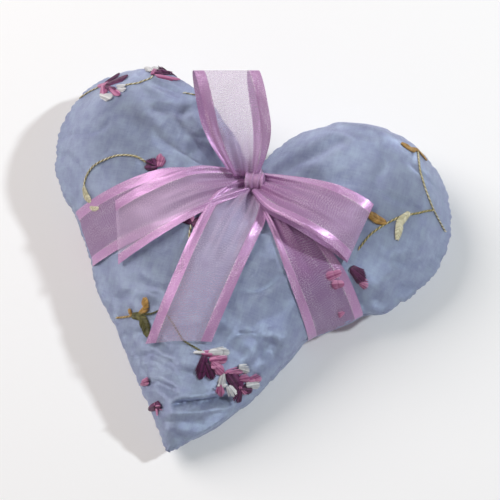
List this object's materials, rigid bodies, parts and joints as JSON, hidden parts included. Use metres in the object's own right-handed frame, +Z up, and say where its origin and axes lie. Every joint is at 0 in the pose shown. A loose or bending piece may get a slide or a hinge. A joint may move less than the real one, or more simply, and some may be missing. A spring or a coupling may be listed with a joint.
{
  "type": "lavender sachet",
  "caption": "Heart-shaped stuffed silk sachet with embroidered sprigs, tied round with a sheer ribbon bow, for scenting drawers and linen.",
  "frame": {"origin": "middle of the flat patch of the back panel that the sachet rests on", "axes": "+Z up from the table, +Y from the tip of the heart to its cleft, +X to the right lobe"},
  "size_m": [0.149, 0.1393, 0.0658],
  "materials": {
    "front_silk": "shot silk, fine slubbed weave",
    "back_silk": "shot silk, fine slubbed weave",
    "lavender": "dry loose buds",
    "sewing_thread": "matt thread",
    "flower_thread": "satin stitch in plum, pink and white",
    "leaf_thread": "satin stitch in gold and olive",
    "vine_thread": "twisted metallic thread",
    "ribbon": "sheer organza with satin edges",
    "knotted_ribbon": "gathered organza and satin"
  },
  "bodies": {
    "pouch": {"front_panel": "front_silk", "back_panel": "back_silk", "lavender_filling": "lavender", "seam_thread": "sewing_thread", "closing_thread": "sewing_thread", "flower_1": "flower_thread", "flower_2": "flower_thread", "flower_3": "flower_thread", "flower_4": "flower_thread", "flower_5": "flower_thread", "flower_6": "flower_thread", "flower_7": "flower_thread", "flower_8": "flower_thread", "leaf_1": "leaf_thread", "leaf_2": "leaf_thread", "leaf_3": "leaf_thread", "leaf_4": "leaf_thread", "leaf_5": "leaf_thread", "leaf_6": "leaf_thread", "vine_1": "vine_thread", "vine_2": "vine_thread", "vine_3": "vine_thread", "vine_4": "vine_thread", "vine_5": "vine_thread", "vine_6": "vine_thread", "vine_7": "vine_thread", "vine_8": "vine_thread", "vine_9": "vine_thread", "band_front_left": "ribbon", "band_front_right": "ribbon", "band_back_left": "ribbon", "band_back_right": "ribbon", "bow_knot": "knotted_ribbon", "cleft_strap": "knotted_ribbon"},
    "upper_loop": {"upper_loop": "ribbon"},
    "right_loop": {"right_loop": "ribbon"},
    "left_tail": {"left_tail": "ribbon"},
    "lower_tail": {"lower_tail": "ribbon"}
  },
  "joints": [
    {"name": "upper_loop_bend", "type": "hinge", "parent": "pouch", "child": "upper_loop", "pos_m": [0.002, 0.04968, 0.03495], "axis": [0.829, 0.5592, 0], "range_deg": [-20, 20], "stiffness_Nm_per_rad": 0.001},
    {"name": "right_loop_bend", "type": "hinge", "parent": "pouch", "child": "right_loop", "pos_m": [0.002, 0.04968, 0.03495], "axis": [-0.2756, -0.9613, 0], "range_deg": [0, 25], "stiffness_Nm_per_rad": 0.001},
    {"name": "left_tail_lift", "type": "hinge", "parent": "pouch", "child": "left_tail", "pos_m": [0.002, 0.04968, 0.03495], "axis": [-0.6293, 0.7771, 0], "range_deg": [0, 40]},
    {"name": "lower_tail_lift", "type": "hinge", "parent": "pouch", "child": "lower_tail", "pos_m": [0.002, 0.04968, 0.03495], "axis": [-0.9925, 0.1219, 0], "range_deg": [0, 25]}
  ]
}
